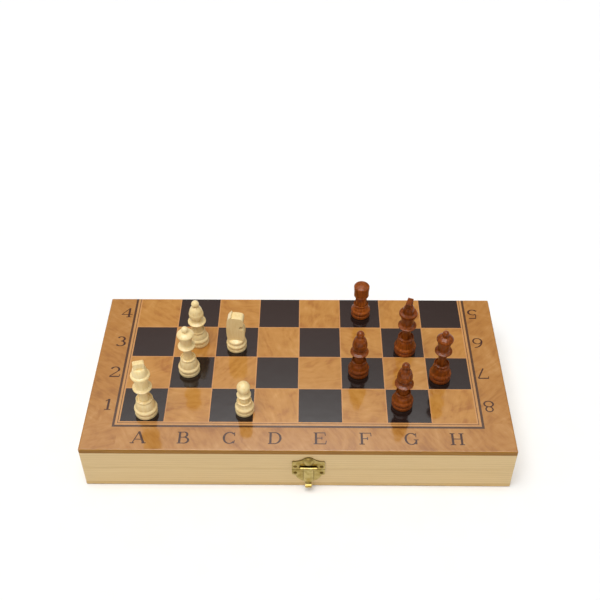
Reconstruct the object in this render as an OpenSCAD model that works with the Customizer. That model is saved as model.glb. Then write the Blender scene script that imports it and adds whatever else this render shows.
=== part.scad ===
// Folding wooden games case for chess, draughts and backgammon.
// The case lies closed: two shallow trays hinged together along the back edge.
// Their outer faces carry the two halves of the chess board, and their floors
// carry the backgammon points. Ten chessmen stand on top, the other men, the
// draughts and the dice lie inside. Width is X, the clasp faces -Y, Z is up.

/* [Board] */
// Side of one chess square
square = 35.5; // [34:0.5:40]
// Printed border round the squares, on the two ends and the front
border = 28; // [26:0.5:34]
// Thin line left between two printed squares
grid_line = 0.8; // [0.4:0.1:1.4]
// Distance from the squares to the middle of the thick border line
border_line_out = 4.2; // [3:0.2:7]
// Width of the thick border line
border_line_w = 2; // [1:0.2:3]
// Distance from the squares to the middle of the fine border line
fine_line_out = 1.1; // [0.8:0.1:1.5]
// Width of the fine border line
fine_line_w = 0.5; // [0.3:0.1:0.8]
// Depth of the coloured surfaces let into the panels
inlay_t = 0.3; // [0.2:0.1:0.8]

/* [Trays] */
// Thickness of the board panels
panel_t = 4.5; // [3.5:0.5:7]
// Height of the rails round each tray
rail_h = 17.9; // [17:0.1:24]
// Thickness of the rails
rail_t = 9; // [8.5:0.5:11]
// Depth of the rebates that take the end rails
rebate = 4.5; // [3:0.5:6]
// Gap between the two rims when the case is closed
seam = 0.2; // [0.1:0.1:0.4]
// Radius of the rounded panel edges
panel_round = 1.2; // [0.6:0.2:2]
// Radius of the upright corners of the case
corner_round = 1; // [0.5:0.25:2]

/* [Backgammon points] */
// Length of a point
point_l = 128; // [100:2:136]
// Gap between the feet of two points
point_gap = 1; // [0.6:0.2:3]

/* [Hinges] */
// Distance of each hinge from the middle of the case
hinge_x = 95; // [70:5:120]
// Length of a hinge
hinge_l = 22; // [20:1:30]
// Distance from the hinge axis to the far edge of a leaf
leaf_w = 8; // [7.6:0.1:8.4]
// Thickness of a leaf
leaf_t = 1; // [0.8:0.1:1.4]
// Radius of the knuckles
knuckle_r = 1.6; // [1.4:0.05:1.8]
// Radius of the hinge pin
hinge_pin_r = 0.8; // [0.6:0.05:0.9]
// Distance of the hinge axis behind the case
axis_out = 0.15; // [0.1:0.05:0.3]
// Distance of a screw from the middle of its leaf
screw_x = 7; // [6.5:0.25:7.5]
// Radius of a screw's head
screw_head_r = 1.7; // [1.4:0.1:1.9]
// Radius of a screw's shank
screw_r = 0.8; // [0.6:0.05:1]
// Length of a screw
screw_l = 9; // [6:0.5:12]

/* [Clasp] */
// Distance of the clasp to the right of the middle
clasp_x = 8.5; // [-20:0.5:20]
// Width of the two clasp plates
clasp_w = 26; // [25:0.5:32]
// Height of the upper plate above the seam
clasp_up = 14.6; // [14.2:0.1:17]
// Depth of the lower plate below the seam
clasp_down = 15.5; // [15:0.1:17]
// Thickness of the sheet brass
sheet = 0.8; // [0.6:0.05:1]
// Height of the tongue's hinge above the seam
tongue_up = 3; // [2.6:0.1:3.4]
// Width of the tongue
tongue_w = 7.6; // [6.8:0.1:8.4]
// Radius of the tongue's arched section
tongue_arch_r = 6.5; // [5.5:0.25:8]
// Length of the tongue below its hinge, to the start of its lip
tongue_l = 16.2; // [15:0.1:17]
// Width of the finger lip
lip_w = 5; // [4:0.25:6]
// Inner radius of the curled finger lip
lip_r = 2; // [1.5:0.1:2.6]
// Radius of the clasp's knuckles
ear_r = 1.3; // [1.1:0.05:1.5]
// Length of each outer knuckle
ear_l = 2.6; // [1.8:0.1:2.8]
// Radius of the clasp's pin
clasp_pin_r = 0.6; // [0.4:0.05:0.7]
// Radius of the round hood pressed in the upper plate
hood_r = 4.4; // [3.6:0.1:4.8]
// Height of the hood
hood_h = 2.2; // [1.4:0.1:2.6]
// Radius of the round catch pressed in the lower plate
catch_r = 2.6; // [2:0.1:3]
// Height of the catch
catch_h = 1.2; // [0.9:0.1:1.3]
// Distance of the nails from the middle of the clasp
nail_x = 10.4; // [9.5:0.1:11]
// Height of the upper nails above the seam
nail_up = 3.6; // [3:0.1:5]
// Depth of the lower nails below the seam
nail_down = 4.4; // [3:0.1:5]
// Radius of a nail's head
nail_head_r = 1.5; // [1.2:0.1:1.8]
// Height of a nail's head
nail_head_h = 0.8; // [0.5:0.1:1]
// Radius of a nail's shank
nail_r = 0.6; // [0.4:0.05:0.7]
// Length of a nail's shank
nail_l = 8; // [5:0.5:10]

/* [Chessmen] */
// Base diameter of a king
king_d = 18.6; // [17:0.1:22]
// Height of a king without the block on its head
king_h = 52.4; // [46:0.2:58]
// Diameter of the drum on the light king's head
light_king_drum = 12; // [9:0.2:13]
// Diameter of the drum on the dark king's head
dark_king_drum = 9.6; // [9:0.2:13]
// Height of the block on a king's head
king_block_h = 5.2; // [3:0.2:8]
// Width of the block at its top
king_block_w = 8.8; // [6:0.2:9.6]
// Thickness of the block
king_block_t = 4.4; // [3:0.2:5]
// Base diameter of a queen
queen_d = 17.9; // [16:0.1:21]
// Height of the light queen
light_queen_h = 51; // [46:0.2:56]
// Height of the dark queen
dark_queen_h = 54; // [46:0.2:56]
// Base diameter of a bishop
bishop_d = 17.5; // [15:0.1:17.6]
// Height of a bishop
bishop_h = 47.8; // [40:0.2:49]
// Base diameter of a knight
knight_d = 17.3; // [15:0.1:17.6]
// Height of a knight
knight_h = 38.5; // [34:0.2:42]
// Thickness of a knight's sawn head
knight_t = 8.4; // [6:0.2:10]
// Base diameter of a rook
rook_d = 17; // [15:0.1:17.6]
// Height of a rook
rook_h = 34.6; // [30:0.2:38]
// Base diameter of a pawn
pawn_d = 15.4; // [13:0.1:17]
// Height of a pawn
pawn_h = 33.2; // [28:0.2:35]

/* [Draughts and dice] */
// Diameter of a draught
draught_d = 24; // [20:0.5:26]
// Thickness of a draught
draught_t = 5.8; // [4:0.1:5.8]
// Number of draughts in a stack
stack_n = 3; // [1:1:3]
// Number of stacks in a row
stack_cols = 5; // [3:1:5]
// Side of a die
die = 12; // [10:0.5:15]

/* [Hidden] */

columns = 8;
rows = 4;
case_w = columns * square + 2 * border;
case_d = rows * square + border;
case_h = 2 * (panel_t + rail_h) + seam;
field_x = columns * square / 2;
field_y = case_d / 2 - rows * square;
seam_z = case_h / 2;
rim_z = seam_z + seam / 2;
ceiling_z = rim_z + rail_h;
tray_w = case_w - 2 * rail_t;
tray_d = case_d - 2 * rail_t;

over = 1;          // how far a cutting shape runs past a face
running = 0.05;    // radial clearance of pins, screws and nails in their holes
knuckle_gap = 0.1; // gap between two knuckles
swing = 0.3;       // clearance round a knuckle in the wood and the other leaf
loose = 0.1;       // lift of a lying man over the floor
stack_gap = 0.05;  // gap between two stacked draughts
spacing = 1;       // least gap between loose pieces and the walls

hinge_y = case_d / 2 + axis_out;
screw_y = case_d / 2 - rail_t / 2 - axis_out;
pin_head_t = 0.5;
pin_head_r = hinge_pin_r + 0.5;
screw_head_t = 0.9;
slot_w = 0.45;
slot_t = 0.35;

pines = "burlywood";
stained = "peru";
ebony = [0.17, 0.16, 0.16];
brass = [0.75, 0.66, 0.35];
boxwood = [0.92, 0.87, 0.7];
mahogany = [0.45, 0.2, 0.08];

$fn = 48;

// Points of an arc round [x, y], from angle a0 to angle a1.
function arc(x, y, r, a0, a1, n = 6) =
    [for (i = [0 : n]) let (a = a0 + (a1 - a0) * i / n) [x + r * cos(a), y + r * sin(a)]];

// Points of a curve from a to c that is drawn towards b.
function curve(a, b, c, n = 6) =
    [for (i = [0 : n]) let (t = i / n) (1 - t) * (1 - t) * a + 2 * t * (1 - t) * b + t * t * c];

// The right half of an outline followed by its mirror image.
function both_sides(half) =
    concat(half, [for (i = [len(half) - 1 : -1 : 0]) [-half[i][0], half[i][1]]]);

// ---------------------------------------------------------------- trays

// Everything on the lower tray is the upper one's, turned over about the Y axis.
module turned_over() {
    translate([0, 0, case_h]) rotate([0, 180, 0]) children();
}

// Upright prism with the outline of the case and its rounded corners.
module case_prism(z0, z1) {
    x = case_w / 2 - corner_round;
    y = case_d / 2 - corner_round;
    outline = concat(
        arc(x, y, corner_round, 0, 90), arc(-x, y, corner_round, 90, 180),
        arc(-x, -y, corner_round, 180, 270), arc(x, -y, corner_round, 270, 360));
    translate([0, 0, z0]) linear_extrude(z1 - z0) polygon(outline);
}

// Prism along X from points in the Y-Z plane.
module prism_x(points, length) {
    rotate([90, 0, 90]) linear_extrude(length, center = true) polygon(points);
}

// Prism along Y from points in the X-Z plane.
module prism_y(points, length) {
    rotate([90, 0, 0]) linear_extrude(length, center = true) polygon(points);
}

// The dark squares, as blocks let into the outer face of the upper panel.
module square_blocks(extra) {
    for (i = [0 : columns - 1], j = [0 : rows - 1]) {
        reach = j == rows - 1 ? grid_line / 2 + extra : 0;
        if ((i + j) % 2 == 0)
            translate([
                -field_x + i * square + grid_line / 2,
                field_y + j * square + grid_line / 2,
                case_h - inlay_t
            ])
                cube([square - grid_line, square - grid_line + reach, inlay_t + extra]);
    }
}

// A line round three sides of the squares, open towards the fold.
module line_block(out, width, extra) {
    inner = field_x + out - width / 2;
    outer = field_x + out + width / 2;
    back = case_d / 2 + extra;
    near = field_y - out + width / 2;
    far = field_y - out - width / 2;
    translate([0, 0, case_h - inlay_t]) linear_extrude(inlay_t + extra) polygon([
        [-outer, back], [-outer, far], [outer, far], [outer, back],
        [inner, back], [inner, near], [-inner, near], [-inner, back]
    ]);
}

module line_blocks(extra) {
    line_block(border_line_out, border_line_w, extra);
    line_block(fine_line_out, fine_line_w, extra);
}

// Backgammon points of one colour on the upper tray's inner face.
module point_blocks(shade, extra) {
    pitch = tray_d / 6;
    for (side = [-1, 1], k = [0 : 5]) {
        foot = side * tray_w / 2;
        y = -tray_d / 2 + (k + 0.5) * pitch;
        half = (pitch - point_gap) / 2;
        if ((k + (side > 0 ? 1 : 0)) % 2 == shade)
            translate([0, 0, ceiling_z - extra]) linear_extrude(inlay_t + extra)
                polygon([[foot, y - half], [foot - side * point_l, y], [foot, y + half]]);
    }
}

module panel() {
    x = case_w / 2;
    y = case_d / 2;
    r = panel_round;
    ends = both_sides(concat([[x, ceiling_z]], arc(x - r, case_h - r, r, 0, 90)));
    front = concat([[y, ceiling_z], [y, case_h]], arc(-y + r, case_h - r, r, 90, 180), [[-y, ceiling_z]]);
    difference() {
        intersection() {
            case_prism(ceiling_z, case_h);
            prism_y(ends, case_d + 2 * over);
            prism_x(front, case_w + 2 * over);
        }
        square_blocks(over);
        line_blocks(over);
        point_blocks(0, over);
        point_blocks(1, over);
    }
}

// A front or back rail: side is -1 at the front and 1 at the fold.
module long_rail(side) {
    outer = side * case_d / 2;
    inner = outer - side * rail_t;
    mid = outer - side * rebate;
    intersection() {
        case_prism(rim_z, ceiling_z);
        difference() {
            translate([-case_w / 2, min(inner, outer), rim_z]) cube([case_w, rail_t, rail_h]);
            for (end = [-1, 1])
                translate([
                    end > 0 ? case_w / 2 - rail_t : -case_w / 2 - over,
                    side > 0 ? inner - over : mid,
                    rim_z - over
                ])
                    cube([rail_t + over, rail_t - rebate + over, rail_h + 2 * over]);
        }
    }
}

// An end rail: side is -1 on the left and 1 on the right.
module end_rail(side) {
    x = side > 0 ? case_w / 2 - rail_t : -case_w / 2;
    translate([x, -case_d / 2 + rebate, rim_z]) cube([rail_t, case_d - 2 * rebate, rail_h]);
}

// Front rail of the upper tray, drilled for two nails at x, at height z.
module front_rail(x, z) {
    difference() {
        long_rail(-1);
        for (s = [-1, 1])
            translate([x + s * nail_x, -case_d / 2 - over, z])
                rotate([-90, 0, 0]) cylinder(h = nail_l + 0.5 + over, r = nail_r + running);
    }
}

// Back rail of the upper tray, cut for the two hinges.
module back_rail() {
    difference() {
        long_rail(1);
        for (side = [-1, 1]) translate([side * hinge_x, 0, 0]) {
            translate([-hinge_l / 2, hinge_y - leaf_w, rim_z - over])
                cube([hinge_l, leaf_w + over, leaf_t + over]);
            translate([0, hinge_y, seam_z]) rotate([0, 90, 0])
                cylinder(h = hinge_l + 2 * (pin_head_t + swing), r = knuckle_r + swing, center = true);
            for (s = [-1, 1])
                translate([s * screw_x, screw_y, rim_z])
                    cylinder(h = screw_l + 0.5, r = screw_r + running);
        }
    }
}

module upper_panel() { color(stained) panel(); }
module upper_front_rail() { color(pines) front_rail(clasp_x, seam_z + nail_up); }
module upper_back_rail() { color(pines) back_rail(); }
module upper_left_rail() { color(pines) end_rail(-1); }
module upper_right_rail() { color(pines) end_rail(1); }
module upper_dark_squares() { color(ebony) square_blocks(0); }
module upper_border_lines() { color(ebony) line_blocks(0); }
module upper_points_dark() { color(ebony) point_blocks(0, 0); }
module upper_points_light() { color(boxwood) point_blocks(1, 0); }

module lower_panel() { color(stained) turned_over() panel(); }
module lower_front_rail() { color(pines) turned_over() front_rail(-clasp_x, seam_z + nail_down); }
module lower_back_rail() { color(pines) turned_over() back_rail(); }
module lower_left_rail() { color(pines) turned_over() end_rail(1); }
module lower_right_rail() { color(pines) turned_over() end_rail(-1); }
module lower_dark_squares() { color(ebony) turned_over() square_blocks(0); }
module lower_border_lines() { color(ebony) turned_over() line_blocks(0); }
module lower_points_dark() { color(ebony) turned_over() point_blocks(0, 0); }
module lower_points_light() { color(boxwood) turned_over() point_blocks(1, 0); }

// ---------------------------------------------------------------- hinges

// Round bar along the hinge axis, from x0 to x1.
module axis_bar(x0, x1, r) {
    translate([x0, hinge_y, seam_z]) rotate([0, 90, 0]) cylinder(h = x1 - x0, r = r);
}

// A hinge leaf on the upper rim, rolled round the pin along its whole length
// and then cut away for the other leaf's knuckles. The knuckles are thirds of
// its length: it keeps the middle one when middle is true, or the outer two.
module hinge_leaf(middle) {
    half_third = hinge_l / 6;
    g = knuckle_gap / 2;
    cuts = middle
        ? [[-hinge_l / 2 - over, -half_third + g], [half_third - g, hinge_l / 2 + over]]
        : [[-half_third - g, half_third + g]];
    difference() {
        translate([0, hinge_y, seam_z]) rotate([90, 0, 90])
            linear_extrude(hinge_l, center = true) difference() {
                union() {
                    circle(knuckle_r);
                    translate([-leaf_w, seam / 2]) square([leaf_w, leaf_t]);
                }
                circle(hinge_pin_r + running);
            }
        for (c = cuts) axis_bar(c[0], c[1], knuckle_r + swing);
        for (s = [-1, 1]) translate([s * screw_x, screw_y, rim_z]) {
            translate([0, 0, -over]) cylinder(h = leaf_t + 2 * over, r = screw_r + running);
            cylinder(h = screw_head_t, r1 = screw_head_r + running, r2 = screw_r + running);
        }
    }
}

module hinge_pin(x) {
    translate([x, 0, 0]) {
        axis_bar(-hinge_l / 2 - pin_head_t, hinge_l / 2 + pin_head_t, hinge_pin_r);
        axis_bar(-hinge_l / 2 - pin_head_t, -hinge_l / 2, pin_head_r);
        axis_bar(hinge_l / 2, hinge_l / 2 + pin_head_t, pin_head_r);
    }
}

// The four countersunk screws of the upper leaves.
module hinge_screws() {
    for (side = [-1, 1], s = [-1, 1])
        translate([side * hinge_x + s * screw_x, screw_y, rim_z]) difference() {
            union() {
                cylinder(h = screw_head_t, r1 = screw_head_r, r2 = screw_r);
                cylinder(h = screw_l - 2 * screw_r, r = screw_r);
                translate([0, 0, screw_l - 2 * screw_r]) cylinder(h = 2 * screw_r, r1 = screw_r, r2 = 0.1);
            }
            translate([-screw_head_r - over, -slot_w / 2, -over])
                cube([2 * (screw_head_r + over), slot_w, slot_t + over]);
        }
}

module left_hinge_upper_leaf() { color(brass) translate([-hinge_x, 0, 0]) hinge_leaf(true); }
module right_hinge_upper_leaf() { color(brass) translate([hinge_x, 0, 0]) hinge_leaf(true); }
module left_hinge_lower_leaf() { color(brass) turned_over() translate([hinge_x, 0, 0]) hinge_leaf(false); }
module right_hinge_lower_leaf() { color(brass) turned_over() translate([-hinge_x, 0, 0]) hinge_leaf(false); }
module left_hinge_pin() { color(brass) hinge_pin(-hinge_x); }
module right_hinge_pin() { color(brass) hinge_pin(hinge_x); }
module hinge_screws_upper() { color(brass) hinge_screws(); }
module hinge_screws_lower() { color(brass) turned_over() hinge_screws(); }

// ---------------------------------------------------------------- clasp

// The clasp is drawn round its own origin: on the front face, on the seam.
module at_clasp() {
    translate([clasp_x, -case_d / 2, seam_z]) children();
}

// Sheet metal standing against the front face.
module front_sheet(points, thickness) {
    rotate([90, 0, 0]) linear_extrude(thickness) polygon(points);
}

// A shallow dome of radius r and height h, pressed out of the sheet at height z.
module pressed_dome(z, r, h) {
    ball_r = (r * r + h * h) / (2 * h);
    translate([0, -sheet, z]) intersection() {
        translate([0, ball_r - h, 0]) sphere(ball_r);
        translate([-r - over, -h - over, -r - over]) cube([2 * (r + over), h + over, 2 * (r + over)]);
    }
}

tongue_y = -(sheet + ear_r + 0.15); // axis of the tongue's hinge, in front of the case
ear_x = tongue_w / 2 + knuckle_gap; // inner end of the outer knuckles
wing_x = clasp_w / 2;
crown_r = 5.2;
shoulder_z = clasp_up - 4.7;

// Round bar along the tongue's axis, from x0 to x1.
module tongue_bar(x0, x1, r) {
    translate([x0, tongue_y, tongue_up]) rotate([0, 90, 0]) cylinder(h = x1 - x0, r = r);
}

module nail_holes(z) {
    for (s = [-1, 1])
        translate([s * nail_x, over, z]) rotate([90, 0, 0])
            cylinder(h = sheet + 2 * over, r = nail_r + running);
}

// Crown, ogee shoulders and straight wings.
function upper_plate_outline() = both_sides(concat(
    [[wing_x, seam / 2 + 0.1]],
    curve([wing_x, shoulder_z - 2.6], [wing_x + 0.2, shoulder_z - 0.3], [wing_x - 1.6, shoulder_z]),
    curve([wing_x - 2.6, shoulder_z - 0.3], [wing_x - 4.2, shoulder_z - 0.2],
        [crown_r * cos(30) + 1, clasp_up - crown_r * (1 - sin(30)) - 0.6]),
    arc(0, clasp_up - crown_r, crown_r, 34, 84, 8)));

// Short wings over a round shield.
function lower_plate_outline() = both_sides(concat(
    arc(0, -clasp_down + 10.5, 10.5, -88, -14, 10),
    [[wing_x - 2, -nail_down - nail_head_r - 0.9], [wing_x - 0.7, -nail_down - nail_head_r - 0.5],
     [wing_x, -nail_down - nail_head_r + 0.3], [wing_x, -seam / 2 - 0.1]]));

module clasp_upper_plate() {
    color(brass) at_clasp() difference() {
        union() {
            front_sheet(upper_plate_outline(), sheet);
            pressed_dome(clasp_up - crown_r, hood_r, hood_h);
            for (s = [-1, 1]) {
                x = s > 0 ? ear_x : -ear_x - ear_l;
                tongue_bar(x, x + ear_l, ear_r);
                translate([x, tongue_y, tongue_up - 0.8]) cube([ear_l, -tongue_y - sheet / 2, 1.6]);
            }
        }
        tongue_bar(-clasp_w, clasp_w, clasp_pin_r + running);
        nail_holes(nail_up);
    }
}

module clasp_lower_plate() {
    color(brass) at_clasp() difference() {
        union() {
            front_sheet(lower_plate_outline(), sheet);
            pressed_dome(-clasp_down + 8.6, catch_r, catch_h);
        }
        nail_holes(-nail_down);
    }
}

// The tongue: a barrel, an arched strip that covers the catch, a nib that
// snaps under the catch, and a finger lip that curls away from the case.
module clasp_tongue() {
    front = tongue_y - ear_r;
    end_z = tongue_up - tongue_l;
    arch_y = front + tongue_arch_r;
    color(brass) at_clasp() difference() {
        union() {
            tongue_bar(-tongue_w / 2, tongue_w / 2, ear_r);
            translate([0, 0, end_z]) linear_extrude(tongue_l) intersection() {
                difference() {
                    translate([0, arch_y]) circle(tongue_arch_r);
                    translate([0, arch_y]) circle(tongue_arch_r - sheet);
                }
                translate([-tongue_w / 2, front - over]) square([tongue_w, tongue_arch_r / 2]);
            }
            translate([0, front + 1.1, -clasp_down + 8.6 - catch_r - 1.1]) sphere(0.85);
            translate([-lip_w / 2, front - lip_r, end_z]) rotate([0, 90, 0])
                rotate_extrude(angle = 90) translate([lip_r, 0]) square([sheet, lip_w]);
            translate([-lip_w / 2, front - lip_r - 1, end_z - lip_r - sheet]) cube([lip_w, 1, sheet]);
        }
        tongue_bar(-clasp_w, clasp_w, clasp_pin_r + running);
    }
}

module clasp_pin() {
    reach = ear_x + ear_l;
    color(brass) at_clasp() {
        tongue_bar(-reach, reach, clasp_pin_r);
        tongue_bar(-reach - 0.4, -reach, clasp_pin_r + 0.35);
        tongue_bar(reach, reach + 0.4, clasp_pin_r + 0.35);
    }
}

module clasp_nails(z) {
    ball_r = (nail_head_r * nail_head_r + nail_head_h * nail_head_h) / (2 * nail_head_h);
    color(brass) at_clasp() for (s = [-1, 1])
        translate([s * nail_x, -sheet, z]) rotate([-90, 0, 0]) {
            intersection() {
                translate([0, 0, ball_r - nail_head_h]) sphere(ball_r);
                translate([0, 0, -nail_head_h]) cylinder(h = nail_head_h, r = nail_head_r + over);
            }
            cylinder(h = nail_l + sheet - 1.5, r = nail_r);
            translate([0, 0, nail_l + sheet - 1.5]) cylinder(h = 1.5, r1 = nail_r, r2 = 0.1);
        }
}

module clasp_nails_upper() { clasp_nails(nail_up); }
module clasp_nails_lower() { clasp_nails(-nail_down); }

// ---------------------------------------------------------------- chessmen

// Each turning is drawn as points [radius, height] at the size in its
// comment, and is then stretched to the man's own base and height.
function stretched(points, d, h, drawn_r, drawn_h) =
    [for (p = points) [p[0] * d / 2 / drawn_r, p[1] * h / drawn_h]];

// The foot that all men share: plinth, groove, bulge and bell, up to a cup
// ring of radius c at height z, out of which a stem of radius s grows.
function foot(r, c, z, s) = concat(
    [[0, 0], [r - 0.7, 0], [r - 0.2, 0.5], [r - 0.2, 2.4], [r - 1, 3.3]],
    arc(r - 2.1, 5.9, 2.1, -50, 55),
    curve([r - 1.4, 8.2], [r - 1.9, z - 3.4], [c - 0.5, z - 2]),
    [[c, z - 1.1], [c, z - 0.2], [c - 0.5, z], [s + 1, z - 1.2], [s, z - 0.8]]);

// A flared collar of radius r on a neck of radius s: z is its upper edge.
function collar(s, r, z) = concat(
    curve([s, z - 4.4], [s + 0.7, z - 1.9], [r - 0.6, z - 1.5], 5),
    [[r, z - 1], [r, z - 0.3], [r - 0.6, z]]);

// King, drawn 9.3 in radius and 52.4 high.
function king_points(drum) = concat(
    foot(9.3, 6.7, 17, 4.3),
    curve([4.1, 16.4], [3, 22], [4, 26.2]),
    collar(4.2, 7.6, 30.8), [[5.4, 31.4], [5, 32.4]],
    curve([5, 33], [5.3, 38.6], [7.2, 42.4]),
    [[7.6, 43.2], [7.6, 44.4], [7.1, 45], [drum + 0.2, 45.4], [drum, 46]],
    curve([drum, 46.4], [drum - 0.2, 51.6], [drum - 2.2, 52.2]), [[0, 52.4]]);

// Queen, drawn 8.9 in radius and 51 high.
function queen_points() = concat(
    foot(8.9, 6.2, 16.8, 4),
    curve([3.9, 16.2], [2.8, 22], [3.8, 26.4]),
    collar(4, 7, 30.8), [[5, 31.4], [4.6, 32.4]],
    curve([4.6, 33], [4.9, 38], [6.3, 41.4]),
    [[6.8, 42.2], [6.8, 43.2]],
    curve([6.4, 43.8], [4.6, 45.6], [2.4, 46], 5),
    arc(0, 48.2, 2.8, -46, 88, 8), [[0, 51]]);

// Bishop, drawn 8.7 in radius and 47.8 high.
function bishop_points() = concat(
    foot(8.7, 6, 15.2, 4.6),
    curve([4.4, 14.8], [3.4, 19], [4.4, 21.6]),
    collar(4.5, 7.5, 25.6), [[5.4, 26.4], [4.4, 27.6]],
    curve([4.2, 28.6], [6.6, 30], [6, 34.6]),
    [[5.7, 35], [5.4, 35.3], [5.4, 35.7], [5.6, 36]],
    curve([5.4, 36.8], [4.9, 40], [2.6, 41.8], 5),
    arc(0, 44.6, 3.2, -48, 88, 8), [[0, 47.8]]);

// Rook, drawn 8.5 in radius and 34.6 high.
function rook_points() = concat(
    foot(8.5, 6.3, 13.4, 5.2),
    curve([5.1, 13], [4.5, 17.6], [5.3, 21.4]),
    [[6.4, 22.8], [6.5, 23.4], [6.1, 23.8], [6.4, 24.6], [6.8, 32.6], [6.3, 33.4], [5.2, 33.9]],
    curve([4.2, 34.1], [2, 34.6], [0, 34.6], 4));

// Pawn, drawn 7.7 in radius and 33.2 high.
function pawn_points() = concat(
    foot(7.7, 6, 13, 4.2),
    curve([4, 12.6], [3.2, 15.4], [3.6, 16.4]),
    collar(3.6, 5.7, 20.4), [[4.2, 21], [3.4, 21.8], [3.3, 22.8]],
    arc(0, 27.8, 5.4, -51, 88, 10), [[0, 33.2]]);

// Foot of a knight, drawn 8.6 in radius and 38.5 high.
function knight_points() = concat(
    [[0, 0], [7.9, 0], [8.4, 0.5], [8.4, 2.2], [7.6, 3.2]],
    arc(6.5, 5.6, 2.1, -50, 55),
    [[7.5, 7.6], [7.2, 8.2]],
    arc(5.9, 9.7, 1.7, -50, 60),
    [[6.2, 11.4], [4, 12.4], [0, 12.4]]);

// The knight's neck and head in profile, drawn at the same size.
function knight_profile() = concat(
    [[-6, 11], [-7, 14]],
    curve([-7.3, 18], [-7.6, 31], [-6, 34.4]),
    [[-4.6, 36.6], [-2.9, 38.5], [-2.3, 36.6], [-0.4, 37], [2.4, 36.8]],
    curve([5.2, 36.4], [7.3, 35.6], [7.2, 32.4], 4),
    [[6.9, 29.4], [6.1, 28.3], [4.6, 28.5], [3.5, 26.8], [3.3, 24.9], [4.6, 24.3]],
    curve([6.6, 24], [9.2, 19.4], [7, 14.2], 6),
    [[6, 11]]);

module turning(points) {
    rotate_extrude() polygon(points);
}

module king(drum_d) {
    bottom = king_h - 0.9;
    turning(stretched(king_points(drum_d / 2 * 9.3 / (king_d / 2)), king_d, king_h, 9.3, 52.4));
    translate([0, king_block_t / 2, 0]) rotate([90, 0, 0]) linear_extrude(king_block_t) polygon([
        [-king_block_w / 2 + 1, bottom], [king_block_w / 2 - 1, bottom],
        [king_block_w / 2, king_h + king_block_h - 0.8], [king_block_w / 2 - 0.8, king_h + king_block_h],
        [-king_block_w / 2 + 0.8, king_h + king_block_h], [-king_block_w / 2, king_h + king_block_h - 0.8]
    ]);
}

module queen(h) { turning(stretched(queen_points(), queen_d, h, 8.9, 51)); }
module bishop() { turning(stretched(bishop_points(), bishop_d, bishop_h, 8.7, 47.8)); }
module rook() { turning(stretched(rook_points(), rook_d, rook_h, 8.5, 34.6)); }
module pawn() { turning(stretched(pawn_points(), pawn_d, pawn_h, 7.7, 33.2)); }

// The knight looks along its own +X.
module knight() {
    turning(stretched(knight_points(), knight_d, knight_h, 8.6, 38.5));
    intersection() {
        translate([0, knight_t / 2, 0]) rotate([90, 0, 0]) linear_extrude(knight_t)
            polygon(stretched(knight_profile(), knight_d, knight_h, 8.6, 38.5));
        cylinder(h = knight_h + over, r = knight_d / 2 - 0.2);
    }
}

// A man standing on the board, placed in squares from the field's front middle.
module standing(place, turn = 0) {
    translate([place[0] * square, field_y + place[1] * square, case_h]) rotate([0, 0, turn]) children();
}

module white_king() { color(boxwood) standing([-3.42, 0.29], 14) king(light_king_drum); }
module white_queen() { color(boxwood) standing([-2.57, 1.555]) queen(light_queen_h); }
module white_bishop() { color(boxwood) standing([-2.43, 2.505]) bishop(); }
module white_knight() { color(boxwood) standing([-1.5, 2.345], -4) knight(); }
module white_pawn() { color(boxwood) standing([-1.203, 0.34]) pawn(); }
module dark_king() { color(mahogany) standing([2.54, 2.25], 70) king(dark_king_drum); }
module dark_queen() { color(mahogany) standing([3.296, 1.38]) queen(dark_queen_h); }
module dark_bishop_front() { color(mahogany) standing([2.36, 0.563]) bishop(); }
module dark_bishop_back() { color(mahogany) standing([1.403, 1.53]) bishop(); }
module dark_rook() { color(mahogany) standing([1.524, 3.504]) rook(); }

// ---------------------------------------------------------------- contents

floor_z = panel_t;
lane_count = 8; // lanes for lying men, from the front wall to the fold
lane = tray_d / lane_count;
row_start = tray_w / 2 - spacing;         // feet of the outer row of men
second_start = row_start - pawn_h - 2;    // feet of the inner row

// A man lying in a lane with its foot towards the end wall: side is -1 on
// the left and 1 on the right. It rests on its bulge, of radius r at height
// z, and on a second point, of radius r2 at height z2.
module lying(side, start, lane_no, r, z, r2, z2) {
    tilt = atan2(r - r2, z2 - z);
    lift = r * cos(tilt) + z * sin(tilt) + loose;
    y = -tray_d / 2 + (lane_no + 0.5) * lane;
    mirror([side > 0 ? 1 : 0, 0, 0])
        translate([-start + r * sin(tilt), y, floor_z + lift]) rotate([0, 90 + tilt, 0]) children();
}

module lying_pawn(side, start, lane_no) {
    lying(side, start, lane_no, pawn_d / 2, pawn_h * 0.18, pawn_d * 0.35, pawn_h * 0.84) pawn();
}

module lying_rook(side, start, lane_no) {
    lying(side, start, lane_no, rook_d / 2, rook_h * 0.17, rook_d * 0.4, rook_h * 0.94) rook();
}

module lying_bishop(side, start, lane_no) {
    lying(side, start, lane_no, bishop_d / 2, bishop_h * 0.12, bishop_d * 0.43, bishop_h * 0.53) bishop();
}

module lying_knight(side, start, lane_no) {
    lying(side, start, lane_no, knight_d / 2, knight_h * 0.15, knight_t / 2, knight_h * 0.96)
        rotate([0, 0, 90]) knight();
}

module boxed_white_pawns() { color(boxwood) for (k = [0 : 6]) lying_pawn(-1, row_start, k); }
module boxed_white_rooks() { color(boxwood) for (k = [0 : 1]) lying_rook(-1, second_start, k); }
module boxed_white_knight() { color(boxwood) lying_knight(-1, second_start, 2); }
module boxed_white_bishop() { color(boxwood) lying_bishop(-1, second_start, 3); }
module boxed_dark_pawns() { color(mahogany) for (k = [0 : 7]) lying_pawn(1, row_start, k); }
module boxed_dark_rook() { color(mahogany) lying_rook(1, second_start, 0); }
module boxed_dark_knights() { color(mahogany) for (k = [1 : 2]) lying_knight(1, second_start, k); }

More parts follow.
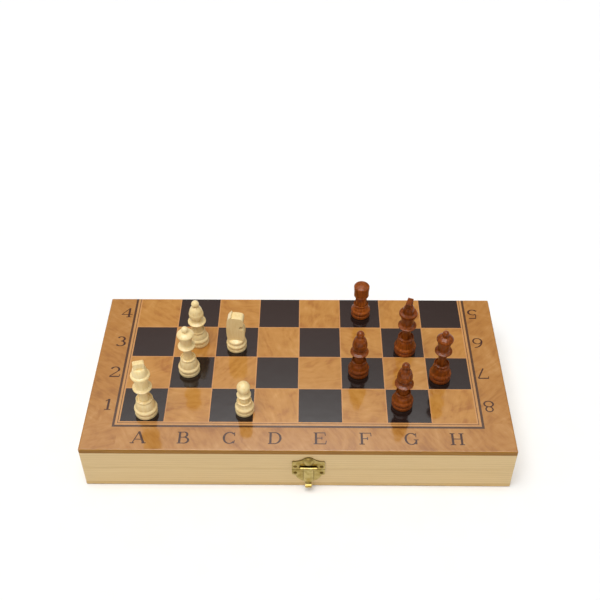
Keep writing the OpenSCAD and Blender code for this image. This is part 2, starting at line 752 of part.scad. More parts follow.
// A turned draught with a raised rim and a ring on both faces.
module draught() {
    r = draught_d / 2;
    t = draught_t;
    dip = 0.6;
    under = [[0, dip], [r * 0.35, dip], [r * 0.4, 0], [r * 0.5, 0], [r * 0.55, dip], [r * 0.72, dip],
        [r * 0.78, 0], [r - 0.7, 0], [r, 0.7]];
    turning(concat(under, [for (i = [len(under) - 1 : -1 : 0]) [under[i][0], t - under[i][1]]]));
}

// One row of stacks against the front wall: row is 0 or 1.
module draught_stacks(row) {
    pitch = draught_d + spacing;
    for (c = [0 : stack_cols - 1], k = [0 : stack_n - 1])
        translate([
            (c - (stack_cols - 1) / 2) * pitch,
            -tray_d / 2 + spacing + draught_d / 2 + row * pitch,
            floor_z + k * (draught_t + stack_gap)
        ])
            draught();
}

module light_draughts() { color(boxwood) draught_stacks(0); }
module dark_draughts() { color(mahogany) draught_stacks(1); }

// Pip places for the faces 1 to 6, in units of a quarter of the die.
pips = [
    [[0, 0]],
    [[-1, -1], [1, 1]],
    [[-1, -1], [0, 0], [1, 1]],
    [[-1, -1], [-1, 1], [1, -1], [1, 1]],
    [[-1, -1], [-1, 1], [0, 0], [1, -1], [1, 1]],
    [[-1, -1], [-1, 0], [-1, 1], [1, -1], [1, 0], [1, 1]]
];
// Turns that bring the faces 1 to 6 to the top.
die_faces = [[0, 0, 0], [90, 0, 0], [0, 90, 0], [0, -90, 0], [-90, 0, 0], [180, 0, 0]];

module one_die() {
    pip_r = die / 12;
    difference() {
        intersection() {
            cube(die, center = true);
            sphere(die * 0.71);
        }
        for (f = [0 : 5]) rotate(die_faces[f]) for (p = pips[f])
            translate([p[0] * die / 4, p[1] * die / 4, die / 2 + pip_r * 0.4]) sphere(pip_r, $fn = 24);
    }
}

module dice() {
    y = -tray_d / 2 + 2 * (draught_d + spacing) + 2 * spacing + die * 0.7;
    color(boxwood) for (s = [-1, 1])
        translate([s * die, y, floor_z + die / 2]) rotate([0, 0, s * 12]) rotate([s > 0 ? 90 : 0, 0, 0])
            one_die();
}

// ---------------------------------------------------------------- the model

lower_panel();
lower_front_rail();
lower_back_rail();
lower_left_rail();
lower_right_rail();
lower_dark_squares();
lower_border_lines();
lower_points_dark();
lower_points_light();
upper_panel();
upper_front_rail();
upper_back_rail();
upper_left_rail();
upper_right_rail();
upper_dark_squares();
upper_border_lines();
upper_points_dark();
upper_points_light();
left_hinge_lower_leaf();
left_hinge_upper_leaf();
left_hinge_pin();
right_hinge_lower_leaf();
right_hinge_upper_leaf();
right_hinge_pin();
hinge_screws_lower();
hinge_screws_upper();
clasp_upper_plate();
clasp_tongue();
clasp_pin();
clasp_nails_upper();
clasp_lower_plate();
clasp_nails_lower();
white_king();
white_queen();
white_bishop();
white_knight();
white_pawn();
dark_king();
dark_queen();
dark_bishop_front();
dark_bishop_back();
dark_rook();
boxed_white_pawns();
boxed_white_rooks();
boxed_white_bishop();
boxed_white_knight();
boxed_dark_pawns();
boxed_dark_rook();
boxed_dark_knights();
light_draughts();
dark_draughts();
dice();
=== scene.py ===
"""Looks of a folding wooden games case: chess board outside, backgammon inside, men on top.

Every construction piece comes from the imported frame. This script gives each its procedural
material, adds the printed coordinates and sets up the studio.
"""

import math

import bmesh
import bpy
from mathutils import Matrix, Vector


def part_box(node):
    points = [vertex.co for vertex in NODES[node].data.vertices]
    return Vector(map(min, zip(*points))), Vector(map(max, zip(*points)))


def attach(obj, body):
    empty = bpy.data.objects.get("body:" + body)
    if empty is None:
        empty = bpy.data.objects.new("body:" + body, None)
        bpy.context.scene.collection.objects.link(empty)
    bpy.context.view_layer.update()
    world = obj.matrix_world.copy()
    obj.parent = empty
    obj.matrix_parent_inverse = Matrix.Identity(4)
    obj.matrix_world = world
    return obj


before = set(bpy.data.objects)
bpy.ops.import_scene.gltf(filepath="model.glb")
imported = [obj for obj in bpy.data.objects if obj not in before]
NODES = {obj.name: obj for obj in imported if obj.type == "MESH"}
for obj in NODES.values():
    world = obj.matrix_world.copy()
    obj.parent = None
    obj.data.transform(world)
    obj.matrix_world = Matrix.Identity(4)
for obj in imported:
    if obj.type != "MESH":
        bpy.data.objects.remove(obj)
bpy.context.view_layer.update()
MM = 0.001

# ---------------------------------------------------------------- sizes, from the frame

PANEL_LOW, PANEL_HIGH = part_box("upper_panel")
SQUARES_LOW, SQUARES_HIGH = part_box("upper_dark_squares")
TOP_Z = PANEL_HIGH.z
SEAM_Z = TOP_Z / 2
GRID = 0.8 * MM  # thin line between two printed squares
FIELD_X = SQUARES_HIGH.x + GRID / 2  # half the width of the squares
SQUARE = FIELD_X / 4
FIELD_Y = SQUARES_LOW.y - GRID / 2  # front edge of the squares
ARRIS = 1.2 * MM  # rounding of the panels' edges
PANEL_T = PANEL_HIGH.z - PANEL_LOW.z
LINE_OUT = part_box("upper_border_lines")[1].x - FIELD_X  # outer edge of the thick border line


# ---------------------------------------------------------------- shader helpers


def srgb(r, g, b):
    """A colour given as 0 to 255 on screen, as the linear colour that shaders use."""
    shares = (c / 255 for c in (r, g, b))
    return tuple(c / 12.92 if c <= 0.04045 else ((c + 0.055) / 1.055) ** 2.4 for c in shares) + (1.0,)


class Tree:
    """The node tree of a material or of the world, built with one short call for each step."""

    def __init__(self, owner):
        owner.use_nodes = True
        self.nodes, self.links = owner.node_tree.nodes, owner.node_tree.links

    def add(self, kind, inputs=None, **settings):
        node = self.nodes.new(kind)
        for key, value in settings.items():
            setattr(node, key, value)
        for key, value in (inputs or {}).items():
            self.feed(node.inputs[key], value)
        return node

    def feed(self, socket, value):
        if isinstance(value, bpy.types.NodeSocket):
            self.links.new(value, socket)
        else:
            socket.default_value = value

    def math(self, operation, a, b=0.0):
        return self.add("ShaderNodeMath", {0: a, 1: b}, operation=operation).outputs[0]

    def vector(self, operation, a, b):
        return self.add("ShaderNodeVectorMath", {0: a, 1: b}, operation=operation).outputs[0]

    def split(self, vector):
        return self.add("ShaderNodeSeparateXYZ", {0: vector}).outputs

    def join(self, x, y, z):
        return self.add("ShaderNodeCombineXYZ", {0: x, 1: y, 2: z}).outputs[0]

    def noise(self, place, scale, detail=3.0, roughness=0.5, distortion=0.0):
        inputs = {
            "Vector": place, "Scale": scale, "Detail": detail,
            "Roughness": roughness, "Distortion": distortion,
        }
        return self.add("ShaderNodeTexNoise", inputs).outputs["Fac"]

    def bands(self, place, scale, distortion, detail, detail_scale):
        inputs = {
            "Vector": place, "Scale": scale, "Distortion": distortion,
            "Detail": detail, "Detail Scale": detail_scale,
        }
        return self.add("ShaderNodeTexWave", inputs).outputs["Fac"]

    def ramp(self, factor, *stops):
        """A colour ramp through (position, colour) stops."""
        node = self.add("ShaderNodeValToRGB", {"Fac": factor})
        line = node.color_ramp.elements
        while len(line) < len(stops):
            line.new(1.0)
        for element, (position, colour) in zip(line, stops):
            element.position, element.color = position, colour
        return node.outputs["Color"]

    def step(self, value, low, high):
        """0 below low, 1 above high, and a straight climb between them."""
        inputs = {"Value": value, "From Min": low, "From Max": high}
        return self.add("ShaderNodeMapRange", inputs).outputs[0]

    def mix(self, factor, a, b):
        """Colour a where the factor is 0, and colour b where it is 1."""
        node = self.add("ShaderNodeMix", data_type="RGBA")
        for key, value in ((0, factor), (6, a), (7, b)):
            self.feed(node.inputs[key], value)
        return node.outputs[2]

    def bump(self, height, distance, strength=1.0):
        inputs = {"Height": height, "Distance": distance, "Strength": strength}
        return self.add("ShaderNodeBump", inputs).outputs["Normal"]


class Shader(Tree):
    """A material with one surface, and the place of each of its points."""

    def __init__(self, name):
        self.material = bpy.data.materials.new(name)
        super().__init__(self.material)
        self.surface = self.nodes["Principled BSDF"]
        self.place = self.add("ShaderNodeTexCoord").outputs["Object"]

    def set(self, **inputs):
        """Sets or links inputs of the surface, with spaces written as underscores."""
        for key, value in inputs.items():
            self.feed(self.surface.inputs[key.replace("_", " ")], value)

    def lacquer(self, weight=1.0):
        """A clear, slightly rippled coat."""
        ripple = self.noise(self.place, scale=120.0, detail=2.0, roughness=0.4)
        self.set(
            Coat_Weight=weight, Coat_Roughness=LACQUER_ROUGHNESS,
            Coat_Normal=self.bump(ripple, 0.03 * MM))

    def stretched(self, x, y, z):
        """The object's coordinates, multiplied by a factor along each axis."""
        return self.vector("MULTIPLY", self.place, (x, y, z))


def dress(material, *names):
    """Gives the named pieces one material."""
    for name in names:
        node = NODES[name]
        node.data.materials.clear()
        node.data.materials.append(material)


# ---------------------------------------------------------------- materials

LACQUER_ROUGHNESS = 0.1

# Colours of each material, from its darkest to its palest.
PINE = (srgb(202, 167, 109), srgb(215, 182, 123), srgb(223, 193, 135))
BOXWOOD = (srgb(223, 193, 129), srgb(243, 217, 157), srgb(251, 232, 182))
MAHOGANY = (srgb(76, 32, 4), srgb(126, 60, 11), srgb(178, 94, 30))
BURL_SQUARES = (srgb(158, 98, 34), srgb(179, 123, 52), srgb(187, 132, 62), srgb(198, 147, 82))
BURL_RIM = (srgb(148, 94, 36), srgb(170, 115, 50), srgb(178, 125, 62), srgb(190, 141, 82))
STAINED_EDGE = (srgb(140, 94, 26), srgb(164, 116, 38))
BLACK = (srgb(24, 15, 12), srgb(32, 20, 16))
BROWN = (srgb(66, 40, 20), srgb(86, 56, 32))
INK = (srgb(48, 24, 12), srgb(76, 42, 24))
DARK_POINTS = (srgb(44, 22, 14), srgb(74, 40, 24))
LIGHT_POINTS = (srgb(206, 176, 122), srgb(228, 204, 154))
# The first colour of each brass is painted shade, mixed into its corners and recesses.
CLASP_BRASS = (srgb(52, 34, 4), srgb(156, 134, 70), srgb(190, 170, 108))
TONGUE_BRASS = (srgb(52, 34, 4), srgb(166, 146, 84), srgb(196, 178, 118))
# The nails' brass is darker all over than the plates' brass: painted shade on the nail heads.
SHADED_NAIL_BRASS = (srgb(44, 28, 4), srgb(92, 72, 28), srgb(128, 104, 50))
HINGE_BRASS = (srgb(96, 70, 26), srgb(184, 154, 84), srgb(214, 188, 112))
IVORY = (srgb(232, 226, 208), srgb(244, 240, 228))


def board_veneer(s, out):
    """Burl figure from 0 to 1, and its pores; each square has its veneer turned at random."""
    x, y, z = s.split(s.place)
    column = s.math("FLOOR", s.math("DIVIDE", s.math("ADD", x, FIELD_X), SQUARE))
    row = s.math("FLOOR", s.math("DIVIDE", s.math("SUBTRACT", y, FIELD_Y), SQUARE))
    side = s.math("SIGN", s.math("SUBTRACT", z, SEAM_Z))
    in_field = s.math("LESS_THAN", out, 0.0)
    cell = s.vector("MULTIPLY", s.join(column, row, side), s.join(in_field, in_field, 1.0))
    chance = s.add("ShaderNodeTexWhiteNoise", {"Vector": cell}, noise_dimensions="3D")
    turn = s.math("MULTIPLY", chance.outputs["Value"], math.tau)
    turned = s.add("ShaderNodeVectorRotate", {"Vector": s.place, "Angle": turn}).outputs[0]
    veneer = s.vector("ADD", turned, chance.outputs["Color"])

    cloud = s.noise(veneer, scale=40.0, detail=4.0, distortion=1.6)
    wave_place = s.vector("MULTIPLY", veneer, (1.0, 0.5, 1.0))
    wave = s.bands(wave_place, scale=40.0, distortion=14.0, detail=3.0, detail_scale=1.6)
    pores = s.noise(s.vector("MULTIPLY", veneer, (1.0, 0.15, 1.0)), scale=800.0, roughness=0.6)
    figure = s.math("ADD", s.math("MULTIPLY", cloud, 0.72), s.math("MULTIPLY", wave, 0.08))
    figure = s.math("ADD", figure, s.math("MULTIPLY", pores, 0.2))
    return figure, pores


def burl(s, figure, colours):
    return s.ramp(figure, *zip((0.3, 0.47, 0.6, 0.75), colours))


def face_tint(s, figure, out):
    """Squares with a pale grid between them, a pale band inside the border line, and the rim."""
    x, y, _ = s.split(s.place)
    grid_x = s.math("PINGPONG", s.math("ADD", x, FIELD_X), SQUARE / 2)
    grid_y = s.math("PINGPONG", s.math("SUBTRACT", y, FIELD_Y), SQUARE / 2)
    grid = s.math("LESS_THAN", s.math("MINIMUM", grid_x, grid_y), GRID / 2)
    squares = s.mix(s.math("MULTIPLY", grid, 0.6), burl(s, figure, BURL_SQUARES), srgb(206, 146, 92))
    band = s.math("LESS_THAN", out, LINE_OUT)
    rim = s.mix(s.math("MULTIPLY", band, 0.6), burl(s, figure, BURL_RIM), srgb(200, 146, 88))
    return s.mix(s.math("LESS_THAN", out, 0.0), rim, squares)


def edge_tint(s):
    """The upper board's edge is stained, and the lower board's is plain."""
    z = s.split(s.place)[2]
    grain = s.noise(s.stretched(30.0, 30.0, 900.0), scale=1.0, roughness=0.6)
    stained = s.ramp(grain, *zip((0.3, 0.7), STAINED_EDGE))
    plain = s.ramp(grain, *zip((0.3, 0.7), PINE))
    return s.mix(s.math("LESS_THAN", z, SEAM_Z), stained, plain)


def board_print():
    """Lacquered panels: printed faces outside, bare edges, and paler burl on the tray floors."""
    s = Shader("board_print")
    x, y, z = s.split(s.place)
    height = s.math("ABSOLUTE", s.math("SUBTRACT", z, SEAM_Z))
    face = s.step(height, TOP_Z / 2 - ARRIS * 0.3, TOP_Z / 2 - ARRIS * 0.1)
    inside = s.math("LESS_THAN", height, TOP_Z / 2 - PANEL_T + 0.2 * MM)
    out_x = s.math("SUBTRACT", s.math("ABSOLUTE", x), FIELD_X)
    out = s.math("MAXIMUM", out_x, s.math("SUBTRACT", FIELD_Y, y))  # distance outside the squares

    figure, pores = board_veneer(s, out)
    tint = s.mix(face, edge_tint(s), face_tint(s, figure, out))
    floor_tint = s.mix(0.25, burl(s, figure, BURL_RIM), srgb(232, 205, 160))
    s.set(
        Base_Color=s.mix(inside, tint, floor_tint), Roughness=0.5, Specular_IOR_Level=0.1,
        Normal=s.bump(s.math("MULTIPLY", pores, 0.4), 0.02 * MM))
    s.lacquer(s.step(face, -0.4, 1.0))
    return s.material


def dark_print(name, dark, light):
    """Dark print under the same lacquer as the rest of the board."""
    s = Shader(name)
    speck = s.noise(s.place, scale=1600.0, detail=2.0, roughness=0.6)
    s.set(Base_Color=s.ramp(speck, (0.35, dark), (0.75, light)), Roughness=0.5, Specular_IOR_Level=0.05)
    s.lacquer()
    return s.material


def ink(dark, light):
    """Dark brown ink of the coordinates."""
    s = Shader("ink")
    wear = s.noise(s.place, scale=900.0, roughness=0.6)
    s.set(
        Base_Color=s.ramp(wear, (0.3, dark), (0.75, light)), Roughness=0.5, Specular_IOR_Level=0.05,
        Coat_Weight=0.8, Coat_Roughness=LACQUER_ROUGHNESS)
    return s.material


def point_print(name, dark, light):
    """Backgammon points printed on the tray floors, with a fine wood figure."""
    s = Shader(name)
    fibre = s.noise(s.stretched(60.0, 900.0, 60.0), scale=1.0, detail=4.0, roughness=0.6, distortion=0.4)
    s.set(
        Base_Color=s.ramp(fibre, (0.3, dark), (0.7, light)), Roughness=0.45, Coat_Weight=0.7,
        Coat_Roughness=0.15, Normal=s.bump(fibre, 0.02 * MM))
    return s.material


def solid_wood(name, along, dark, mid, light):
    """Planed wood whose year rings run along one axis, so its ends show end grain."""
    s = Shader(name)
    squeeze = {"X": (0.035, 1.0, 1.0), "Y": (1.0, 0.035, 1.0)}[along]
    heart = {"X": (0.0, 0.31, 0.23), "Y": (0.27, 0.0, 0.31)}[along]  # moves the rings' middle off the piece
    place = s.vector("ADD", s.vector("MULTIPLY", s.place, squeeze), heart)
    rings = s.add(
        "ShaderNodeTexWave",
        {"Vector": place, "Scale": 150.0, "Distortion": 2.6, "Detail": 2.0, "Detail Scale": 6.0},
        wave_type="RINGS", rings_direction=along).outputs["Fac"]
    fibre = s.noise(place, scale=1500.0, roughness=0.65)
    cloud = s.noise(place, scale=40.0, detail=2.0)
    mixed = s.math("ADD", s.math("MULTIPLY", rings, 0.18), s.math("MULTIPLY", fibre, 0.35))
    mixed = s.math("ADD", mixed, s.math("MULTIPLY", cloud, 0.5))
    s.set(
        Base_Color=s.ramp(mixed, (0.25, dark), (0.5, mid), (0.8, light)), Roughness=0.42,
        Coat_Weight=0.35, Coat_Roughness=0.25, Normal=s.bump(fibre, 0.05 * MM, 0.6))
    return s.material


def turned_wood(name, dark, mid, light, coat):
    """Lacquered turned wood: upright grain, soft clouds and fine tool rings."""
    s = Shader(name)
    fibre = s.noise(s.stretched(1.0, 1.0, 0.12), scale=700.0, detail=4.0, roughness=0.6, distortion=0.3)
    cloud = s.noise(s.stretched(1.0, 1.0, 0.4), scale=60.0, detail=2.0)
    mixed = s.math("ADD", s.math("MULTIPLY", fibre, 0.55), s.math("MULTIPLY", cloud, 0.45))
    rings = s.noise(s.stretched(20.0, 20.0, 1600.0), scale=1.0, detail=2.0)
    s.set(
        Base_Color=s.ramp(mixed, (0.3, dark), (0.5, mid), (0.72, light)), Roughness=0.38,
        Coat_Weight=coat, Coat_Roughness=0.1, Specular_IOR_Level=0.08,
        Normal=s.bump(rings, 0.02 * MM))
    return s.material


def aged_brass(name, shade_colour, dull, bright):
    """Brass with a worn shine and cloudy patina, and painted shade: darker wherever ambient occlusion finds
    a corner or recess.
    """
    s = Shader(name)
    cloud = s.noise(s.place, scale=260.0, detail=2.0)
    # Painted shade: ambient occlusion over 1.4 mm finds corners and recesses, and these are mixed towards
    # the darkest colour.
    painted_corner_shade = s.add("ShaderNodeAmbientOcclusion", {"Distance": 1.4 * MM}, samples=16).outputs["AO"]
    metal = s.ramp(cloud, (0.35, dull), (0.65, bright))
    s.set(
        Base_Color=s.mix(s.step(painted_corner_shade, 0.95, 0.55), metal, shade_colour), Metallic=1.0,
        Roughness=s.step(cloud, -0.4, 1.8), Normal=s.bump(cloud, 0.02 * MM))
    return s.material


def die_plastic(dark, light):
    """Ivory plastic, with black paint wherever the surface is sunk."""
    s = Shader("die_plastic")
    cloud = s.noise(s.place, scale=300.0)
    plastic = s.ramp(cloud, (0.3, dark), (0.7, light))
    sunk = s.add("ShaderNodeAmbientOcclusion", {"Distance": 2 * MM}, samples=16, only_local=True)
    s.set(
        Base_Color=s.mix(s.step(sunk.outputs["AO"], 0.94, 0.84), plastic, srgb(24, 20, 20)),
        Roughness=0.3, Coat_Weight=0.5, Subsurface_Weight=0.1, Subsurface_Scale=1 * MM)
    return s.material


def dress_board():
    dress(board_print(), "upper_panel", "lower_panel")
    dress(dark_print("black_print", *BLACK), "upper_dark_squares", "lower_dark_squares")
    dress(dark_print("brown_print", *BROWN), "upper_border_lines", "lower_border_lines")
    dress(point_print("dark_points", *DARK_POINTS), "upper_points_dark", "lower_points_dark")
    dress(point_print("light_points", *LIGHT_POINTS), "upper_points_light", "lower_points_light")
    long_pine = solid_wood("pine_long", "X", *PINE)
    end_pine = solid_wood("pine_ends", "Y", *PINE)
    for half in ("upper", "lower"):
        dress(long_pine, f"{half}_front_rail", f"{half}_back_rail")
        dress(end_pine, f"{half}_left_rail", f"{half}_right_rail")


def dress_metal():
    dress(aged_brass("hinge_brass", *HINGE_BRASS), *(name for name in NODES if "hinge" in name))
    dress(aged_brass("clasp_brass", *CLASP_BRASS), "clasp_upper_plate", "clasp_lower_plate", "clasp_pin")
    dress(aged_brass("tongue_brass", *TONGUE_BRASS), "clasp_tongue")
    # The nails get the darker brass, as painted shade on their heads.
    dress(aged_brass("nail_brass_painted_shade", *SHADED_NAIL_BRASS), "clasp_nails_upper", "clasp_nails_lower")


def dress_games():
    pale_men = turned_wood("pale_men", *BOXWOOD, coat=0.6)
    dark_men = turned_wood("dark_men", *MAHOGANY, coat=0.4)
    for name in NODES:
        if name.startswith(("white_", "boxed_white", "light_")):
            dress(pale_men, name)
        elif name.startswith(("dark_", "boxed_dark")):
            dress(dark_men, name)
    dress(die_plastic(*IVORY), "dice")


dress_board()
dress_metal()
dress_games()

# ---------------------------------------------------------------- printed coordinates

THIN, THICK = 0.07, 0.155  # stroke widths, in cap heights


def bar(x0, y0, x1, y1, width=THIN):
    """A straight stroke, as the outline of a slanted bar."""
    a, b = Vector((x0, y0)), Vector((x1, y1))
    side = (b - a).orthogonal().normalized() * width / 2
    return [a + side, a - side, b - side, b + side]


def bowl(x, y, rx, ry, start, end, thick=THICK, steps=20):
    """A curved stroke on an ellipse, thick at its sides and thin at its top and foot."""
    outer, inner = [], []
    for i in range(steps + 1):
        angle = math.radians(start + (end - start) * i / steps)
        half = (THIN + (thick - THIN) * abs(math.cos(angle)) ** 1.5) / 2
        along = Vector((math.cos(angle), math.sin(angle)))
        outer.append(Vector((x + (rx + half) * along.x, y + (ry + half) * along.y)))
        inner.append(Vector((x + (rx - half) * along.x, y + (ry - half) * along.y)))
    return outer + inner[::-1]


def stem(x):
    return bar(x, 0, x, 1, THICK)


def serif(x, y, half=0.17):
    """A thin level foot or head, kept within the cap height."""
    level = THIN / 2 if y < 0.5 else 1 - THIN / 2
    return bar(x - half, level, x + half, level)


TOP, FOOT = 1 - THIN / 2, THIN / 2  # levels of thin strokes at the head and the foot
GLYPHS = {  # the strokes of each sign
    "A": [bar(0.1, 0, 0.48, 1), bar(0.47, 1, 0.88, 0, THICK), bar(0.23, 0.34, 0.74, 0.34),
          serif(0.1, 0, 0.14), serif(0.88, 0, 0.15)],
    "B": [stem(0.2), bar(0.04, TOP, 0.46, TOP), bar(0.04, FOOT, 0.5, FOOT), bar(0.2, 0.53, 0.5, 0.53),
          bowl(0.46, 0.755, 0.23, 0.22, -90, 90), bowl(0.5, 0.28, 0.29, 0.25, -90, 90)],
    "C": [bowl(0.5, 0.5, 0.38, 0.47, 42, 318), bar(0.83, 0.66, 0.83, 0.98, 0.06), bar(0.8, 0.03, 0.84, 0.3)],
    "D": [stem(0.2), bar(0.04, TOP, 0.46, TOP), bar(0.04, FOOT, 0.46, FOOT),
          bowl(0.45, 0.5, 0.42, 0.47, -90, 90)],
    "E": [stem(0.2), bar(0.04, TOP, 0.82, TOP), bar(0.04, FOOT, 0.86, FOOT), bar(0.2, 0.52, 0.6, 0.52),
          bar(0.8, 1, 0.83, 0.72, 0.06), bar(0.84, 0, 0.89, 0.3, 0.06), bar(0.6, 0.4, 0.6, 0.64)],
    "F": [stem(0.22), bar(0.06, TOP, 0.84, TOP), serif(0.22, 0, 0.18), bar(0.22, 0.5, 0.6, 0.5),
          bar(0.82, 1, 0.85, 0.7, 0.06), bar(0.6, 0.38, 0.6, 0.62)],
    "G": [bowl(0.48, 0.5, 0.38, 0.47, 42, 330), bar(0.8, 0.66, 0.8, 0.98, 0.06),
          bar(0.8, 0.05, 0.8, 0.42, 0.12), bar(0.64, 0.42, 0.96, 0.42)],
    "H": [stem(0.2), stem(0.8), serif(0.2, 0), serif(0.2, 1), serif(0.8, 0), serif(0.8, 1),
          bar(0.2, 0.51, 0.8, 0.51)],
    "1": [stem(0.5), serif(0.5, 0, 0.22), bar(0.27, 0.8, 0.5, 0.98, 0.07)],
    "2": [bowl(0.48, 0.72, 0.28, 0.25, -35, 165), bar(0.7, 0.56, 0.18, 0.1, 0.08),
          bar(0.14, 0.05, 0.84, 0.05, 0.1), bar(0.84, 0.02, 0.88, 0.26, 0.06)],
    "3": [bowl(0.46, 0.75, 0.25, 0.22, -90, 155), bowl(0.46, 0.28, 0.31, 0.25, -155, 90)],
    "4": [stem(0.66), serif(0.66, 0, 0.2), bar(0.64, 0.97, 0.1, 0.3, 0.06), bar(0.08, 0.3, 0.92, 0.3, 0.07)],
    "5": [bar(0.26, 0.955, 0.8, 0.955, 0.09), bar(0.27, 0.95, 0.24, 0.52),
          bowl(0.46, 0.3, 0.32, 0.27, -155, 132)],
    "6": [bowl(0.48, 0.31, 0.31, 0.28, 0, 360, 0.12, 40), bowl(0.76, 0.33, 0.6, 0.64, 92, 182, 0.12)],
    "7": [bar(0.14, 0.95, 0.88, 0.95, 0.1), bar(0.86, 0.94, 0.42, 0, 0.1),
          bar(0.14, 0.98, 0.12, 0.76, 0.06)],
    "8": [bowl(0.48, 0.755, 0.24, 0.22, 0, 360, 0.1, 36), bowl(0.48, 0.28, 0.31, 0.25, 0, 360, 0.12, 40)],
}

CAP = 11.6 * MM  # height of a letter
PRINT_LIFT = 0.02 * MM  # how far the signs stand proud of the board
PRINT_T = 0.03 * MM
LETTER_OUT = 15.6 * MM  # middle of the letters, in front of the squares
DIGIT_OUT = 11.4 * MM  # middle of the digits, beside the squares


def glyph_places():
    """(sign, middle, turned over) for each coordinate on the upper half."""
    for i, sign in enumerate("ABCDEFGH"):
        yield sign, (-FIELD_X + (i + 0.5) * SQUARE, FIELD_Y - LETTER_OUT), False
    for j in range(4):
        y = FIELD_Y + (j + 0.5) * SQUARE
        yield "1234"[j], (-FIELD_X - DIGIT_OUT, y), False
        yield "8765"[j], (FIELD_X + DIGIT_OUT, y), True


def stroke_prism(outline, collection):
    """A closed prism of height 1 over a stroke's outline, drawn in cap heights."""
    mesh = bpy.data.meshes.new("stroke")
    count = len(outline)
    points = [(p.x, p.y, z) for z in (0, 1) for p in outline]
    quads = [(i, (i + 1) % count, (i + 1) % count + count, i + count) for i in range(count)]
    mesh.from_pydata(points, [], quads)
    edit = bmesh.new()
    edit.from_mesh(mesh)
    for level in (0, 1):
        ring = [e for e in edit.edges if all(v.co.z == level for v in e.verts)]
        bmesh.ops.triangle_fill(edit, use_beauty=True, use_dissolve=False, edges=ring)
    bmesh.ops.recalc_face_normals(edit, faces=edit.faces)
    edit.to_mesh(mesh)
    edit.free()
    piece = bpy.data.objects.new("stroke", mesh)
    collection.objects.link(piece)
    return piece


def joined_strokes(sign):
    """One sign's strokes, joined into a single prism of height 1."""
    strokes = bpy.data.collections.new("strokes")
    bpy.context.scene.collection.children.link(strokes)
    pieces = [stroke_prism(outline, strokes) for outline in GLYPHS[sign]]
    first = pieces[0]
    strokes.objects.unlink(first)
    bpy.context.scene.collection.objects.link(first)
    union = first.modifiers.new("union", "BOOLEAN")
    union.operation, union.solver = "UNION", "EXACT"
    union.operand_type, union.collection = "COLLECTION", strokes
    graph = bpy.context.evaluated_depsgraph_get()
    mesh = bpy.data.meshes.new_from_object(first.evaluated_get(graph))
    for piece in pieces:
        bpy.data.objects.remove(piece)
    bpy.data.collections.remove(strokes)
    return mesh


def coordinates():
    """All signs of the upper half, as thin plates just proud of the board."""
    signs = {sign: joined_strokes(sign) for sign in GLYPHS}
    edit = bmesh.new()
    for sign, middle, turned in glyph_places():
        known = len(edit.verts)
        edit.from_mesh(signs[sign])
        edit.verts.ensure_lookup_table()
        flip = -1 if turned else 1
        for vertex in edit.verts[known:]:
            x, y, z = vertex.co
            level = TOP_Z + PRINT_LIFT - (0 if z > 0.5 else PRINT_T)
            vertex.co = (middle[0] + flip * (x - 0.5) * CAP, middle[1] + flip * (y - 0.5) * CAP, level)
    mesh = bpy.data.meshes.new("coordinates")
    edit.to_mesh(mesh)
    edit.free()
    return mesh


def place_signs(name, mesh, material, body):
    """Signs that ride on one half of the case."""
    mesh.materials.clear()
    mesh.materials.append(material)
    piece = bpy.data.objects.new(name, mesh)
    bpy.context.scene.collection.objects.link(piece)
    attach(piece, body)


upper_signs = coordinates()
lower_signs = upper_signs.copy()
turn_over = Matrix.Translation((0, 0, TOP_Z)) @ Matrix.Rotation(math.pi, 4, "Y")
lower_signs.transform(turn_over)
ink_paint = ink(*INK)
place_signs("upper_coordinates", upper_signs, ink_paint, "upper_half")
place_signs("lower_coordinates", lower_signs, ink_paint, "lower_half")

# ---------------------------------------------------------------- studio

# The camera looks down on the case from its front.
CAMERA_AT = Vector((7.7, -523.1, 616.7)) * MM
CAMERA_PITCH = math.radians(43.24)  # below the horizon
CAMERA_YAW = math.radians(0.70)
CAMERA_ROLL = math.radians(-0.22)
HALF_FRAME = 300  # half the picture's width, in pixels
FOCAL_LENGTH = 922.8  # in the same pixels


def make_camera():
    data = bpy.data.cameras.new("camera")
    data.sensor_fit = "HORIZONTAL"
    data.angle = 2 * math.atan(HALF_FRAME / FOCAL_LENGTH)
    data.clip_start, data.clip_end = 0.01, 20.0
    camera = bpy.data.objects.new("camera", data)
    bpy.context.scene.collection.objects.link(camera)
    turn = (
        Matrix.Rotation(CAMERA_YAW, 4, "Z")
        @ Matrix.Rotation(math.pi / 2 - CAMERA_PITCH, 4, "X")
        @ Matrix.Rotation(CAMERA_ROLL, 4, "Z"))
    camera.matrix_world = Matrix.Translation(CAMERA_AT) @ turn
    bpy.context.scene.camera = camera


def make_floor():
    """A wide pale floor, a hair below the case."""
    mesh = bpy.data.meshes.new("floor")
    reach = 3.0
    corners = [(-reach, -reach, 0), (reach, -reach, 0), (reach, reach, 0), (-reach, reach, 0)]
    mesh.from_pydata(corners, [], [(0, 1, 2, 3)])
    floor = bpy.data.objects.new("floor", mesh)
    floor.location.z = -0.05 * MM
    bpy.context.scene.collection.objects.link(floor)
    s = Shader("floor")
    grain = s.noise(s.place, scale=40.0, detail=2.0)
    tint = s.ramp(grain, (0.0, srgb(243, 243, 242)), (1.0, srgb(248, 248, 247)))
    s.set(Base_Color=tint, Roughness=0.9)
    mesh.materials.append(s.material)


def make_sun(name, direction, width, strength):
    """A broad, even light that shines from a direction, with its width in degrees."""
    data = bpy.data.lights.new(name, "SUN")
    data.angle, data.energy = math.radians(width), strength
    lamp = bpy.data.objects.new(name, data)
    lamp.rotation_euler = (-Vector(direction)).to_track_quat("-Z", "Y").to_euler()
    bpy.context.scene.collection.objects.link(lamp)


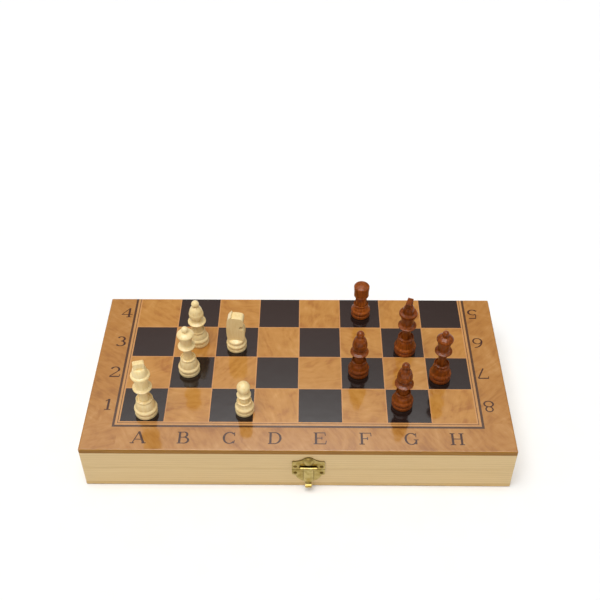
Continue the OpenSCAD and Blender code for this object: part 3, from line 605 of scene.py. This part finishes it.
BRIGHTEST = 3.2  # strength of the surroundings, of which every colour below is a share
DIFFUSE_STRENGTH = 0.34
MIRRORED = (  # (sine of the elevation, light that reflections find there)
    (0.0, (0.30, 0.27, 0.24)), (0.68, (0.62, 0.45, 0.40)), (0.705, (0.92, 0.68, 0.62)),
    (0.74, (1.08, 0.98, 0.94)), (0.77, (1.90, 1.86, 1.84)), (0.82, (1.90, 1.86, 1.84)),
    (0.90, (0.90, 0.90, 0.90)), (1.0, (0.90, 0.90, 0.90)))
FALL_X, MIRROR_FALL = (-0.05, 0.25), 0.3  # where reflections dim towards the right, and by what share
GLOW_X, GLOW_Z = (0.2, 0.04), (0.772, 0.79)  # where the brightest reflection fades in


def share(*light):
    """A light's colour, as a share of the surroundings' strength."""
    return tuple(c / BRIGHTEST for c in light) + (1.0,)


def grey(light):
    return share(light, light, light)


def make_world():
    """Soft white surroundings: gentle as light, white to the eye, and banded by height in reflections."""
    world = bpy.data.worlds.new("studio")
    bpy.context.scene.world = world
    s = Tree(world)
    ray = s.add("ShaderNodeLightPath").outputs
    x, _, z = s.split(s.add("ShaderNodeTexCoord").outputs["Generated"])
    bands = s.ramp(z, *((height, share(*light)) for height, light in MIRRORED))
    fall = s.math("MULTIPLY", s.step(x, *FALL_X), MIRROR_FALL)
    mirrored = s.mix(fall, bands, grey(0.0))
    glow = s.math("MULTIPLY", s.step(s.math("ABSOLUTE", x), *GLOW_X), s.step(z, *GLOW_Z))
    mirrored = s.mix(glow, mirrored, grey(BRIGHTEST))
    light = s.mix(ray["Is Glossy Ray"], grey(DIFFUSE_STRENGTH), mirrored)
    seen = s.math("MAXIMUM", ray["Is Camera Ray"], ray["Is Transmission Ray"])
    background = s.nodes["Background"].inputs
    background["Strength"].default_value = BRIGHTEST
    s.feed(background["Color"], s.mix(seen, light, grey(1.0)))


make_camera()
make_floor()
make_world()
make_sun("key", direction=(-0.14, -0.2, 1.0), width=50, strength=2.5)
bpy.context.scene.view_settings.view_transform = "Standard"
